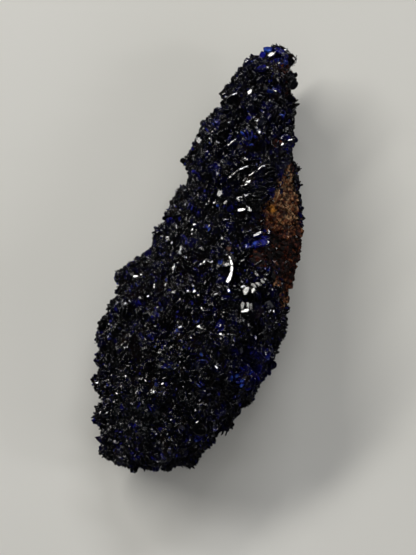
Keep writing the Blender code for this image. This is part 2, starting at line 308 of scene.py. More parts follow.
def cut_crystal(planes, foot=-0.35):
    """A convex crystal bounded by planes of (direction, distance from the middle of its foot)."""
    crystal = bmesh.new()
    bmesh.ops.create_cube(crystal, size=CUT_BLOCK)
    for direction, distance in [*planes, ((0, 0, -1), -foot)]:
        facing = Vector(direction).normalized()
        every = [*crystal.verts, *crystal.edges, *crystal.faces]
        bmesh.ops.bisect_plane(crystal, geom=every, plane_co=facing * distance, plane_no=facing, clear_outer=True,
                               dist=1e-5)
        rim = [edge for edge in crystal.edges if edge.is_boundary]
        if rim:
            bmesh.ops.contextual_create(crystal, geom=rim)
    bmesh.ops.remove_doubles(crystal, verts=crystal.verts, dist=MERGE)
    bmesh.ops.dissolve_degenerate(crystal, edges=crystal.edges, dist=SLIVER)
    bmesh.ops.recalc_face_normals(crystal, faces=crystal.faces)
    bmesh.ops.triangulate(crystal, faces=crystal.faces)
    return crystal


def shapes(name, crystals):
    """A collection of shapes to repeat. Each keeps its own local places as the attribute "own_place"."""
    collection = bpy.data.collections.new(name)
    for number, crystal in enumerate(crystals):
        layer = crystal.verts.layers.float_vector.new("own_place")
        for vert in crystal.verts:
            vert[layer] = vert.co
        mesh = bpy.data.meshes.new(f"{name}_{number}")
        crystal.to_mesh(mesh)
        crystal.free()
        collection.objects.link(bpy.data.objects.new(mesh.name, mesh))
    return collection


def growth_tree(name):
    """The node tree that scatters shapes over a surface, each rooted in it and leaning as its neighbours do."""
    tree = bpy.data.node_groups.new(name, "GeometryNodeTree")
    tree.interface.new_socket(name="Surface", in_out="INPUT", socket_type="NodeSocketGeometry")
    for label, kind in (("Shapes", "Collection"), ("Material", "Material"), ("Where", "String"),
                        ("Spacing", "Float"), ("Smallest", "Float"), ("Largest", "Float"), ("Few large", "Float"),
                        ("Lean", "Float"), ("Sink", "Float"), ("Squat", "Float"), ("Tuft", "Float"),
                        ("Seed", "Int")):
        tree.interface.new_socket(name=label, in_out="INPUT", socket_type=f"NodeSocket{kind}")
    tree.interface.new_socket(name="Grown", in_out="OUTPUT", socket_type="NodeSocketGeometry")
    given = add(tree, "NodeGroupInput").outputs

    def number(low, high, seed, kind="FLOAT"):
        made = add(tree, "FunctionNodeRandomValue", data_type=kind)
        first = {"FLOAT": 2, "FLOAT_VECTOR": 0}[kind]
        made.inputs[first].default_value = low
        made.inputs[first + 1].default_value = high
        tree.links.new(maths(tree, "ADD", given["Seed"], float(seed)), made.inputs["Seed"])
        return made.outputs[{"FLOAT": 1, "FLOAT_VECTOR": 0}[kind]]

    def read(label):
        return add(tree, "GeometryNodeInputNamedAttribute", {"Name": label}, data_type="FLOAT").outputs[0]

    def vectors(operation, *values):
        return add(tree, "ShaderNodeVectorMath", dict(enumerate(values)), operation=operation).outputs[0]

    def scaled(vector, amount):
        return add(tree, "ShaderNodeVectorMath", {0: vector, "Scale": amount}, operation="SCALE").outputs[0]

    where = read(given["Where"])
    densest = maths(tree, "DIVIDE", SPOTS_TRIED, maths(tree, "MULTIPLY", given["Spacing"], given["Spacing"]))
    spread = add(tree, "GeometryNodeDistributePointsOnFaces",
                 {"Mesh": given["Surface"], "Distance Min": given["Spacing"], "Density Max": densest,
                  "Density Factor": where, "Seed": given["Seed"]}, distribute_method="POISSON")
    normal = spread.outputs["Normal"]
    spot = add(tree, "GeometryNodeInputPosition").outputs[0]
    # A crystal's size: many small, few large, and larger where the surface says so
    share = maths(tree, "POWER", number(0.0, 1.0, 1), given["Few large"])
    extra = maths(tree, "SUBTRACT", given["Largest"], given["Smallest"])
    size = maths(tree, "MULTIPLY", maths(tree, "MULTIPLY_ADD", share, extra, given["Smallest"]), read("size"))
    # Its way: the surface's normal, a lean that its tuft shares, and a lean of its own
    tuft = add(tree, "ShaderNodeTexNoise", {"Vector": spot, "Scale": maths(tree, "DIVIDE", 1.0, given["Tuft"]),
                                            "Detail": 0.0}, noise_dimensions="3D").outputs[1]
    shared = scaled(vectors("SUBTRACT", tuft, (0.5, 0.5, 0.5)), maths(tree, "MULTIPLY", given["Lean"], TUFT_LEAN))
    single = scaled(number((-1, -1, -1), (1, 1, 1), 2, "FLOAT_VECTOR"), given["Lean"])
    way = vectors("NORMALIZE", vectors("ADD", normal, vectors("ADD", shared, single)))
    aimed = add(tree, "FunctionNodeAlignRotationToVector", {"Vector": way}, axis="Z").outputs[0]
    turn = maths(tree, "MULTIPLY_ADD", add(tree, "ShaderNodeSeparateXYZ", {0: tuft}).outputs["X"], TUFT_TURN,
                 number(-OWN_TURN, OWN_TURN, 3))
    twist = add(tree, "FunctionNodeAxisAngleToRotation", {"Axis": (0, 0, 1), "Angle": turn}).outputs[0]
    turned = add(tree, "FunctionNodeRotateRotation", {"Rotation": aimed, "Rotate By": twist},
                 rotation_space="LOCAL").outputs[0]
    girth = add(tree, "ShaderNodeCombineXYZ", {"X": number(*ACROSS, 4), "Y": number(*THROUGH, 5),
                                               "Z": given["Squat"]}).outputs[0]
    # None grows down through what the specimen lies on
    tip = vectors("ADD", spot, scaled(way, size))
    ends = [add(tree, "ShaderNodeSeparateXYZ", {0: end}).outputs["Z"] for end in (spot, tip)]
    lowest = maths(tree, "MINIMUM", *ends)
    low = add(tree, "FunctionNodeCompare", {0: maths(tree, "MULTIPLY_ADD", size, -FOOT_SHARE, lowest), 1: 0.0},
              data_type="FLOAT", operation="LESS_THAN").outputs[0]
    kept = add(tree, "GeometryNodeDeleteGeometry", {"Geometry": spread.outputs["Points"], "Selection": low},
               domain="POINT").outputs[0]
    sink = maths(tree, "MULTIPLY", maths(tree, "MULTIPLY", given["Sink"], -1.0), read("size"))
    rooted = add(tree, "GeometryNodeSetPosition", {"Geometry": kept, "Offset": scaled(normal, sink)}).outputs[0]
    # Its own tint, pulled up where the surface is blue
    chance = number(0.0, 1.0, 6)
    blue = read("blue")
    pulled = maths(tree, "MULTIPLY_ADD", chance, TINT_SPREAD, TINT_FROM)
    usual = maths(tree, "MULTIPLY", chance, maths(tree, "SUBTRACT", 1.0, blue))
    tint = maths(tree, "ADD", usual, maths(tree, "MULTIPLY", pulled, blue))
    stored = add(tree, "GeometryNodeStoreNamedAttribute", {"Geometry": rooted, "Name": "tint", "Value": tint},
                 data_type="FLOAT", domain="POINT").outputs[0]
    kinds = add(tree, "GeometryNodeCollectionInfo", {"Collection": given["Shapes"], "Separate Children": True,
                                                     "Reset Children": True}).outputs[0]
    grown = add(tree, "GeometryNodeInstanceOnPoints",
                {"Points": stored, "Instance": kinds, "Pick Instance": True, "Rotation": turned,
                 "Scale": scaled(girth, size)})
    whole = add(tree, "GeometryNodeRealizeInstances", {"Geometry": grown.outputs[0]}).outputs[0]
    done = add(tree, "GeometryNodeSetMaterial", {"Geometry": whole, "Material": given["Material"]}).outputs[0]
    add(tree, "NodeGroupOutput", {0: done})
    return tree


def grow(name, surface, **values):
    """A new piece: what the growth tree makes on that surface, as one plain mesh."""
    piece = new_piece(name, surface.data.copy())
    modifier = piece.modifiers.new("growth", "NODES")
    modifier.node_group = growth
    for socket in growth.interface.items_tree:
        key = socket.name.lower().replace(" ", "_")
        if socket.in_out == "INPUT" and key in values:
            modifier[socket.identifier] = values[key]
    apply_modifiers(piece)
    places = np.empty(len(piece.data.vertices) * 3, np.float32)
    piece.data.vertices.foreach_get("co", places)
    places[2::3] = np.maximum(places[2::3], REST_HEIGHT * MM)
    piece.data.vertices.foreach_set("co", places)
    for extra in ("crystal_room", "grain_room", "size", "blue", "fringe", "seam", "bold"):
        if extra in piece.data.attributes:
            piece.data.attributes.remove(piece.data.attributes[extra])
    return piece


growth = growth_tree("growth")
draw = random.Random(17)
lumps = []
for _ in range(GRAIN_KINDS):
    flats = [(Vector([draw.gauss(0, 1) for _ in range(3)]), draw.uniform(*GRAIN_REACH))
             for _ in range(GRAIN_FLATS)]
    lumps.append(cut_crystal([*flats, ((0, 0, 1), 0.5), ((1, 0, 0), 0.55), ((-1, 0, 0), 0.55), ((0, 1, 0), 0.55),
                              ((0, -1, 0), 0.55)], foot=-0.45))
grain_shapes = shapes("grain", lumps)
grains = grow("matrix_grains", rock, shapes=grain_shapes, material=limonite, where="grain_room", spacing=0.26 * MM,
              smallest=0.2 * MM, largest=0.55 * MM, few_large=2.2, lean=0.8, sink=0.03 * MM, squat=0.9,
              tuft=1.5 * MM, seed=5)
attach(grains, "root")
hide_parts("matrix_rock")


# ---- Crystal ground ----
# The mass that the crystals stand on: azurite grown together into one crust round the rock, in lumps of 2 to
# 3 mm. Hardly any of it shows between the crystals, where it is almost black.
GROUND_VOXEL = 0.3  # how fine its mesh is
GROUND_DEPTH = 0.1  # how far it lies under the solid's own surface, to leave the crystals their height
ROCK_UNDER = 1.6  # it faces the rock where the rock lies within this distance
INNER_SWELL = 0.22  # how far it goes towards the rock there
TOUCH_LIFT, TOUCH_REACH = 0.02, 0.2  # it is shut off from the air where the rock lies this near in front of it
LUMP_SPACING, LUMP_HEIGHT = 2.3, 0.85
TUFT_SPACING, TUFT_HEIGHT = 0.9, 0.3
FLANK_LEVEL, FLANK_OVER = 0.5, 0.4  # its flanks start where its normal's height is under the first
FLANK_SWELL = 0.12
WEAR_LEVEL, WEAR_END = 0.62, 17.5  # knocks blunted it where its normal is lower than this, short of the tip
FLANK_WEAR, SETTLE = 24, 2  # how many times the blunted flanks, and then all of it, are smoothed
# Where the crystals are bluer than elsewhere: X, Y, how far it reaches, and how strongly
BLUE_PLACES = ((-1.5, 16.5, 8.0, 0.25), (-2.2, 20.0, 1.8, 1.4), (-4.0, 17.5, 0.8, 0.7), (-0.4, 19.4, 0.9, 1.4),
               (0.36, 17.0, 0.5, 1.4), (-0.2, 15.1, 0.5, 1.3), (0.5, 11.5, 0.4, 1.3), (-2.0, 13.9, 0.9, 0.6),
               (-0.9, 14.3, 0.8, 0.5), (-0.8, 12.2, 0.7, 0.6), (1.1, 7.9, 0.8, 0.8), (3.3, 3.6, 0.7, 0.9),
               (1.7, 2.6, 0.3, 1.2), (6.2, -7.0, 2.6, 1.15), (1.2, -3.7, 0.4, 1.4), (-1.1, -6.2, 0.6, 0.9),
               (-4.2, 4.6, 0.8, 0.7), (5.4, 0.1, 1.2, 0.5), (6.4, -1.2, 1.0, 0.6))
BLUE_FROM = 3.5  # none of them is lower than this
# Where the crust swells, or is knocked in: X, Y, reach, and how far out or in
SWELLS = ((-4.2, 17.3, 1.3, 0.5), (-4.7, 14.9, 2.2, 0.6), (-5.0, 10.9, 2.0, 0.45), (-5.5, 8.5, 1.4, 0.15),
          (-5.8, 6.0, 1.2, 0.4), (-5.9, 4.0, 1.4, 0.6), (-7.3, -3.0, 1.4, 0.5), (-6.8, -0.6, 1.1, -0.4),
          (-7.5, -8.0, 1.8, 0.45), (-7.5, -9.7, 1.2, 0.3), (0.5, 19.8, 0.9, 0.15), (1.4, 17.2, 0.9, 0.3),
          (2.3, 14.5, 1.9, 0.55), (6.7, -3.3, 1.8, 0.55), (6.9, -6.2, 1.8, 0.5), (6.7, -8.9, 1.7, 0.5),
          (5.6, -11.6, 1.2, 0.3), (-1.8, 20.7, 1.1, 0.25), (0.3, 20.9, 0.9, -0.3), (-0.5, -20.4, 1.4, -0.6),
          (1.6, -19.6, 1.2, -0.3), (-6.9, -16.7, 2.4, -0.9), (-5.5, -16.9, 1.3, -2.2), (-6.7, 1.3, 0.9, -0.2))
# Where they are finer or larger: X, Y, reach, and their size against the usual
SIZE_PLACES = ((-1.2, 19.8, 2.4, 0.52), (-3.0, -13.0, 6.0, 0.85), (2.5, 0.0, 4.0, 1.2), (-1.0, 15.0, 4.0, 1.0),
               (0.5, 8.5, 2.0, 1.15))
RIM_SIZE = 0.6  # their size where the surface turns steeply down
RIM_LEVEL, RIM_OVER = 0.45, 0.3  # that starts where its normal's height is under the first
UNDER_LEVEL, UNDER_OVER = -0.2, 0.4  # and where it is under this, they come back to their full size
CREST_FROM, CREST_END, CREST_SHARE = 9, 16, 0.5  # over this height, short of this Y, only this share counts
# Where larger crystals stand among them: X, Y, reach, and their share
BOLD_PLACES = ((-1.0, 14.5, 8.0, 1.0), (0.0, 8.5, 5.0, 1.0), (3.0, -0.5, 4.5, 0.9), (5.0, -6.0, 3.0, 0.7))
BOLD_LEAST = 0.25  # their share elsewhere
BOLD_FROM, BOLD_END, BOLD_RARE = 5, 18.5, 0.3  # lower than this and past this Y only this share of them stands
# The seam of bare rock near the tip: X, Y and half width at points along it
SEAM = ((-0.2, 19.1, 0.08), (0.3, 18.1, 0.08), (0.7, 17.1, 0.1), (1.2, 16.1, 0.08), (1.55, 15.2, 0.07))
SEAM_WIDEN = 1.6  # how much further its grains reach than that
# The spots and hollows where grains of rock stand out between the crystals: X, Y, reach
HOLLOWS = ((-2.7, 10.5, 0.16), (1.4, 12.1, 0.32), (0.7, 1.9, 0.2), (4.2, 2.5, 1.15), (3.4, 2.1, 0.8),
           (4.8, 3.4, 0.9), (5.4, 1.4, 0.8), (6.0, 0.8, 0.8), (6.6, 0.0, 0.7), (4.0, 5.2, 0.7))
SEAM_FROM = 6  # neither is lower than this
SEAM_CLEAR = 0.25  # how near their middle no crystal stands

# The larger single crystals are listed here, because the ground keeps a place clear for each. They face one of
# these ways, given across, up and towards the camera, as it sees them
FLASH, BLUE, DARK = (-0.315, 0.291, 0.903), (0.1, 0.45, 0.8), (0.3, -0.42, 0.8)
TOP_FLASH, TIP = (0.065, 0.412, 0.909), (-0.1, 0.7, 0.7)
# Each: X, Y, length, width, the way its length points in degrees from straight across, which way it faces, and
# its tint
TABLETS = (
    (-1.65, 6.33, 0.8, 0.6, 70, FLASH, 0.4), (-0.9, 5.6, 0.5, 0.24, 40, FLASH, 0.4),
    (0.55, 5.55, 0.9, 0.3, 0, FLASH, 0.5), (3.2, -1.12, 0.85, 0.56, 62, FLASH, 0.4),
    (3.7, 0.6, 0.5, 0.32, -38, FLASH, 0.4), (3.7, -0.54, 0.7, 0.3, 132, FLASH, 0.4),
    (3.9, -0.28, 0.75, 0.3, 134, FLASH, 0.4), (4.1, -0.02, 0.75, 0.3, 130, FLASH, 0.4),
    (4.28, 0.24, 0.7, 0.28, 128, FLASH, 0.4), (3.76, -0.95, 0.55, 0.4, 40, FLASH, 0.4),
    (3.42, -2.53, 0.9, 0.38, 88, FLASH, 0.4), (3.78, -2.42, 0.9, 0.36, 90, FLASH, 0.4),
    (4.13, -2.42, 0.8, 0.36, 93, FLASH, 0.4), (3.78, -2.85, 0.85, 0.36, 4, FLASH, 0.4),
    (2.98, 3.3, 1.5, 0.75, 12, BLUE, 1.05), (3.4, 3.95, 1.1, 0.5, 5, BLUE, 1.0),
    (2.4, 2.9, 1.0, 0.5, 20, BLUE, 1.1),
    (3.7, 3.5, 0.9, 0.3, 30, FLASH, 1.0), (2.6, 3.8, 1.0, 0.3, 24, FLASH, 0.97),
    (-0.4, 8.3, 2.8, 1.3, 28, DARK, 0.5), (0.9, 9.2, 1.4, 0.8, 50, DARK, 0.62),
    (-3.2, 14.6, 1.5, 1.0, 20, DARK, 0.6),
    (-0.3, 13.5, 1.2, 0.6, 35, BLUE, 0.74), (-1.9, 10.7, 1.3, 0.8, 40, DARK, 0.6),
    (0.2, 11.3, 1.2, 0.9, 70, DARK, 0.62),
    (-3.0, 12.2, 1.2, 0.8, 0, DARK, 0.56), (-1.6, 17.0, 1.2, 0.7, 30, DARK, 0.66),
    (-2.3, 15.6, 0.6, 0.4, 30, FLASH, 0.5),
    (-3.3, 18.0, 0.9, 0.6, 60, DARK, 0.8), (-2.2, 19.3, 0.9, 0.6, 70, BLUE, 1.05),
    (-5.0, 10.2, 0.7, 0.5, 65, FLASH, 0.4),
    (-1.9, 20.2, 1.0, 0.6, -10, TIP, 1.12), (-1.0, 20.3, 1.0, 0.5, -30, TOP_FLASH, 1.0),
    (-0.4, 20.0, 0.9, 0.4, -50, TOP_FLASH, 0.86), (-2.7, 19.6, 0.9, 0.6, 30, TIP, 1.05),
    (-0.3, 19.4, 0.6, 0.3, -60, TIP, 1.15), (-1.6, 19.5, 0.8, 0.4, 20, FLASH, 0.8),
)
TABLET_CLEAR, CLEAR_SHARE = 0.14, 0.2  # the clear place's radius: the first, and a share of its length and width
# A long curved one: X, Y and width at points along it
CURVED_LATH = ((0.86, 1.28, 0.1), (1.08, 1.0, 0.2), (1.33, 0.62, 0.28), (1.47, 0.25, 0.3), (1.53, -0.15, 0.32),
               (1.53, -0.5, 0.4), (1.49, -0.8, 0.44), (1.44, -0.98, 0.3))
LATH_CLEAR = 0.42  # the clear place's radius round each of its points
LARGER_FROM = 5  # none of them is lower than this


def near_place(place, places):
    """How near a place in mm is to the nearest of some places, seen from above: 1 at its middle, 0 at its reach.
    With it comes the number that the nearest one gives after its reach."""
    best, value = 0.0, 1.0
    for x, y, reach, *more in places:
        nearness = 1 - math.hypot(place.x - x, place.y - y) / reach
        if nearness > best:
            best, value = nearness, more[0] if more else 1.0
    return best, value


def seam_nearness(place):
    """How near a place in mm is to the seam or to a hollow, by the same measure."""
    if place.z < SEAM_FROM:
        return 0.0
    best = near_place(place, HOLLOWS)[0]
    for (ax, ay, reach), (bx, by, _) in zip(SEAM, SEAM[1:]):
        along = Vector((bx - ax, by - ay))
        offset = Vector((place.x - ax, place.y - ay))
        share = unit(offset.dot(along) / along.length_squared)
        best = max(best, 1 - (offset - along * share).length / reach / SEAM_WIDEN)
    return best


def under_larger(place):
    """Whether a place in mm lies under one of the larger single crystals."""
    def away(x, y):
        return math.hypot(place.x - x, place.y - y)

    return place.z > LARGER_FROM and (
        any(away(x, y) < TABLET_CLEAR + CLEAR_SHARE * (length + width) for x, y, length, width, *_ in TABLETS)
        or any(away(x, y) < LATH_CLEAR for x, y, _ in CURVED_LATH))


def faces_rock(place, normal):
    """Whether the crust faces the rock at a place in mm."""
    return meets(rock_tree, place, normal, -RAY_LIFT, ROCK_UNDER)


def ground_relief(place, normal):
    """How far the ground goes out at a place: lumps parted by grooves, tufts, and its swells and knocks."""
    if faces_rock(place, normal):
        return INNER_SWELL
    nearest, next_nearest = noise.voronoi(place / LUMP_SPACING)[0][:2]
    dome = 0.3 - 1.3 * nearest ** 3 - 0.45 * math.exp((nearest - next_nearest) / 0.12)
    tuft = noise.noise(place / TUFT_SPACING) * TUFT_HEIGHT
    flank = unit((FLANK_LEVEL - normal.z) / FLANK_OVER)  # the lumps are lower where the surface turns down
    dome *= LUMP_HEIGHT * (0.6 + 0.6 * near_place(place, BOLD_PLACES)[0]) * (1 - 0.85 * flank)
    nearness, swell = near_place(place, SWELLS)
    return dome + tuft * (1 - 0.8 * flank) + FLANK_SWELL * flank - GROUND_DEPTH + min(1.0, nearness * 1.8) * swell


def blueness(place):
    """How much bluer than elsewhere the crystals are at a place in mm."""
    bluest = max(min(1.0, near_place(place, [each])[0] * 2.5) * each[3] for each in BLUE_PLACES)
    return bluest if place.z > BLUE_FROM else 0.0


def crystal_size(place, normal):
    """The crystals' size at a place in mm, against the usual."""
    nearness, amount = near_place(place, SIZE_PLACES)
    crest = 1.0 if place.z < CREST_FROM or place.y > CREST_END else CREST_SHARE
    steep = unit((RIM_LEVEL - normal.z) / RIM_OVER) * crest
    steep -= unit((UNDER_LEVEL - normal.z) / UNDER_OVER) * steep
    return (1 + min(1.0, nearness * 1.6) * (amount - 1)) * (1 - steep * (1 - RIM_SIZE))


def bold_share(place):
    """The share of larger crystals at a place in mm."""
    nearness, amount = near_place(place, BOLD_PLACES)
    few = BOLD_RARE if place.z < BOLD_FROM or place.y > BOLD_END else 1.0
    return few * max(BOLD_LEAST, min(1.0, nearness * 2.0) * amount)


ground = remeshed("azurite_ground", "azurite_crust", GROUND_VOXEL)
turned_down = ground.vertex_groups.new(name="turned_down")
turned_down.add([v.index for v, normal in zip(ground.data.vertices, normals_of(ground))
                 if normal.z < WEAR_LEVEL and v.co.y < WEAR_END * MM], 1.0, "REPLACE")
worn = ground.modifiers.new("worn", "SMOOTH")
worn.factor = 0.5
worn.iterations = FLANK_WEAR
worn.vertex_group = "turned_down"
apply_modifiers(ground)
ground.vertex_groups.clear()
inward = [faces_rock(v.co / MM, v.normal) for v in ground.data.vertices]
moved(ground, ground_relief)
settle = ground.modifiers.new("settle", "SMOOTH")
settle.factor = 0.5
settle.iterations = SETTLE
apply_modifiers(ground)

crystal_room, seam_room, blues, sizes, bolds = [], [], [], [], []
for vert, is_inward in zip(ground.data.vertices, inward):
    spot = vert.co / MM
    shut = is_inward or meets(rock_tree, spot, vert.normal, TOUCH_LIFT, TOUCH_REACH)
    seam = seam_nearness(spot)
    crystal_room.append(0.0 if shut or seam > SEAM_CLEAR or under_larger(spot) else 1.0)
    seam_room.append(1.0 if seam > 0.0 and not shut else 0.0)
    blues.append(blueness(spot))
    sizes.append(crystal_size(spot, vert.normal))
    bolds.append(crystal_room[-1] * bold_share(spot))
store(ground, "crystal_room", crystal_room)
store(ground, "seam", seam_room)
store(ground, "blue", blues)
store(ground, "size", sizes)
store(ground, "bold", bolds)

# Azurite, grown as glassy crystals: its blue is so deep that a crystal looks black but where it is thin or the
# light comes through it, while its clean faces flash white. Iron oxide dusts the roots of the crystals.
azurite, tree = new_material("azurite_crystal")
coords = add(tree, "ShaderNodeTexCoord").outputs["Object"]
tint = add(tree, "ShaderNodeAttribute", attribute_name="tint")
own_place = add(tree, "ShaderNodeAttribute", attribute_name="own_place")
height = add(tree, "ShaderNodeSeparateXYZ", {0: own_place.outputs["Vector"]})
cloud = mottled(tree, coords, 0.7, 3.0)
patch = maths(tree, "MULTIPLY_ADD", cloud, 0.7, -0.35)
level = maths(tree, "MULTIPLY_ADD", tint.outputs["Fac"], 0.8, patch)
body = ramp(tree, level, (0.0, "#020203"), (0.45, "#040407"), (0.60, "#06061a"), (0.72, "#090832"),
            (0.84, "#0e0e62"), (0.97, "#2c54b8"))
depth = mapped(tree, mottled(tree, coords, 2.8, 1.0), 0.35, 0.65, 0.35, 1.3)
body = mixed(tree, 1.0, body, depth, "MULTIPLY")
dust_where = mapped(tree, height.outputs["Z"], 0.0, 0.45, 0.5, 0.0)
dust_patch = mapped(tree, cloud, 0.45, 0.65)
dust = maths(tree, "MULTIPLY", dust_where, dust_patch)
colour = mixed(tree, dust, body, linear("#1d120b"))
# Growth lines across the broad faces, 0.1 mm apart on a blade and wider on a tablet: coarser than the real ones,
# so that they show
lines = add(tree, "ShaderNodeTexWave", {"Vector": own_place.outputs["Vector"], "Scale": 1.6, "Distortion": 1.2,
                                        "Detail": 1.0}, wave_type="BANDS", bands_direction="X")
# Every edge of a crystal is a little blunt, so that it catches a line of light
blunt = add(tree, "ShaderNodeBevel", {"Radius": 0.07 * MM}, samples=4)
bump = add(tree, "ShaderNodeBump", {"Height": lines.outputs[1], "Strength": 0.22, "Distance": 0.02 * MM,
                                    "Normal": blunt.outputs[0]})
cloudy = mapped(tree, mottled(tree, coords, 2.2, 1.0), 0.3, 0.7, 0.03, 0.11)
streak = mapped(tree, lines.outputs[1], 0.85, 0.97, 0.0, 0.06)
rough = maths(tree, "ADD", cloudy, streak)
shader = add(tree, "ShaderNodeBsdfPrincipled", {"Base Color": colour, "Roughness": rough, "Normal": bump.outputs[0],
                                                "IOR": 1.76})
add(tree, "ShaderNodeOutputMaterial", {"Surface": shader.outputs[0]})
ground.data.materials.append(azurite)
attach(ground, "root")
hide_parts("azurite_crust")


# ---- Crystals ----
# The azurite crystals themselves: flat blades 0.3 to 0.8 mm long with wedge ends, which grew out of the ground in
# tufts and lean on each other, with finer ones between them, stout blocks, and rosettes of rounded plates.
ROSETTE_OUTLINE = ((-0.75, -0.35), (-1.0, 0.3), (-0.8, 0.72), (-0.25, 0.97), (0.42, 0.94), (0.9, 0.62),
                   (0.95, 0.1), (0.7, -0.35))
ROSETTE_PLATES = (3, 2, 3, 2, 3, 2)  # how many plates each kind of rosette has
ROSETTE_FACE = 0.84  # a plate's faces against its rim


def blade(width, thickness, wedge, slant, sides=True):
    """One blade: two broad faces, narrow sides, and a wedge at its end."""
    planes = [((0, 1, 0.05), thickness), ((0, -1, 0.05), thickness)]
    if sides:
        planes += [((x, y, 0.08), width * 0.86) for x, y in ((1, 0.75), (1, -0.75), (-1, 0.75), (-1, -0.75))]
    else:
        planes += [((1, 0.2, 0.1), width), ((-1, -0.1, 0.1), width)]
    rise = math.radians(wedge)
    planes.append(((math.sin(rise), slant, math.cos(rise)), math.cos(rise) * 0.96))
    planes.append(((-math.sin(rise * 0.8), -slant, math.cos(rise * 0.8)), math.cos(rise * 0.8) * 0.96))
    return cut_crystal(planes)


def close_loops(made, loops):
    """Faces over the two end loops of corners, and between each loop and the next."""
    made.faces.new(loops[0])
    made.faces.new(reversed(loops[-1]))
    for low, high in zip(loops, loops[1:]):
        for i in range(len(low)):
            j = (i + 1) % len(low)
            made.faces.new((low[i], high[i], high[j], low[j]))


def rosette(plates, width, thickness, gap, fan, skew):
    """Plates with rounded ends side by side, opening like a fan, each with a blunt rim."""
    made = bmesh.new()
    for number in range(plates):
        step = number - (plates - 1) / 2
        tall = 1 - 0.14 * abs(step) - 0.05 * (number % 2)
        place = Matrix.Translation((0, gap * step, 0)) @ Matrix.Rotation(-fan * step, 4, "X") @ Matrix.Rotation(
            skew * step, 4, "Y") @ Matrix.Diagonal((1, 1, tall, 1))
        loops = []
        for side, inset in ((-1, ROSETTE_FACE), (0, 1.0), (1, ROSETTE_FACE)):
            loops.append([made.verts.new(place @ Vector((
                x * width * inset, side * thickness + 0.12 * x * x * width, 0.3 + (z - 0.3) * inset)))
                for x, z in ROSETTE_OUTLINE])
        close_loops(made, loops)
    bmesh.ops.recalc_face_normals(made, faces=made.faces)
    bmesh.ops.triangulate(made, faces=made.faces)
    return made


draw = random.Random(23)
blade_shapes = shapes("blade", [blade(draw.uniform(0.3, 0.5), draw.uniform(0.08, 0.18), draw.uniform(28, 60),
                                      draw.uniform(-0.35, 0.35)) for _ in range(9)])
fine_shapes = shapes("fine", [blade(draw.uniform(0.2, 0.36), draw.uniform(0.1, 0.2), draw.uniform(30, 60),
                                    draw.uniform(-0.3, 0.3), sides=False) for _ in range(6)])
block_shapes = shapes("block", [blade(draw.uniform(0.34, 0.6), draw.uniform(0.2, 0.34), draw.uniform(40, 66),
                                      draw.uniform(-0.6, 0.6)) for _ in range(6)])
rosette_shapes = shapes("rosette", [rosette(plates, draw.uniform(0.42, 0.62), draw.uniform(0.05, 0.08),
                                            draw.uniform(0.2, 0.26), draw.uniform(0.1, 0.3),
                                            draw.uniform(-0.2, 0.2)) for plates in ROSETTE_PLATES])
blades = grow("azurite_blades", ground, shapes=blade_shapes, material=azurite, where="crystal_room",
              spacing=0.34 * MM, smallest=0.34 * MM, largest=0.78 * MM, few_large=1.8, lean=0.5,
              sink=0.1 * MM, squat=0.8, tuft=1.6 * MM, seed=11)
fine = grow("azurite_fine_blades", ground, shapes=fine_shapes, material=azurite, where="crystal_room",
            spacing=0.24 * MM, smallest=0.22 * MM, largest=0.46 * MM, few_large=1.5, lean=0.5, sink=0.0,
            squat=1.0, tuft=1.2 * MM, seed=12)
rosettes = grow("azurite_rosettes", ground, shapes=rosette_shapes, material=azurite, where="bold",
                spacing=0.58 * MM, smallest=0.5 * MM, largest=1.1 * MM, few_large=1.4, lean=1.0,
                sink=0.1 * MM, squat=0.9, tuft=2.2 * MM, seed=16)
blocks = grow("azurite_blocks", ground, shapes=block_shapes, material=azurite, where="bold", spacing=1.1 * MM,
              smallest=0.6 * MM, largest=1.3 * MM, few_large=1.6, lean=0.5, sink=0.35 * MM, squat=0.75,
              tuft=2.5 * MM, seed=13)
fringe = grow("azurite_fringe", rock, shapes=blade_shapes, material=azurite, where="fringe", spacing=0.24 * MM,
              smallest=0.3 * MM, largest=0.7 * MM, few_large=1.4, lean=0.7, sink=0.05 * MM, squat=0.75,
              tuft=1.6 * MM, seed=18)
for piece in (blades, fine, rosettes, blocks, fringe):
    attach(piece, "root")
    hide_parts("azurite_crust")


# ---- Larger crystals ----
# Single azurite crystals that stand out among the rest, 0.5 to 2.8 mm long: stout tablets rooted in the ground.
# Some lie so that they flash, and the others are turned from the light and look black, with a bright rim.
VIEW_TURN = math.radians(19.6)  # how far the camera straight above is turned
AS_SEEN = Matrix.Rotation(VIEW_TURN, 3, "Z")  # turns across, up and towards that camera into X, Y and Z
SKY, OVER_TIP = 20, 11  # heights from which the ground is looked for: over all of it, and just over the tip
TABLET_OUTLINE = ((-1, -0.3), (-0.72, -0.9), (0.1, -1), (0.74, -0.78), (1, 0.1), (0.7, 0.86), (-0.1, 1),
                  (-0.8, 0.66))
WANDER_ALONG, WANDER_ACROSS = 0.16, 0.22  # how far its corners stray from that outline
TABLET_OUT = 0.2  # how far a tablet's face stands out along the ground's normal
TABLET_LIFT, LIFT_LESS, LEAST_LIFT = 0.58, 0.4, 0.25  # how far it is lifted, less this share of its width
RIM_SHARE = 0.1  # how deep under its face its rim lies, as a share of its width
WAIST_DEPTH, TABLET_ROOT = 0.3, 1.2  # how deep its waist and its root lie
LATH_LIFT = 0.25  # how far the lath stands over the highest ground under it
LATH_BITE = 0.3  # how far it roots under the lowest
LATH_RIM = 0.06  # how deep under its face its rim lies

ground_tree = BVHTree.FromPolygons([v.co for v in ground.data.vertices],
                                   [p.vertices for p in ground.data.polygons])
larger = bmesh.new()
tint_layer, place_layer = larger.verts.layers.float.new("tint"), larger.verts.layers.float_vector.new("own_place")


def corner(place, tint, own_place):
    """A corner of a larger crystal at a place in mm."""
    vert = larger.verts.new(place * MM)
    vert[tint_layer] = tint
    vert[place_layer] = own_place
    return vert


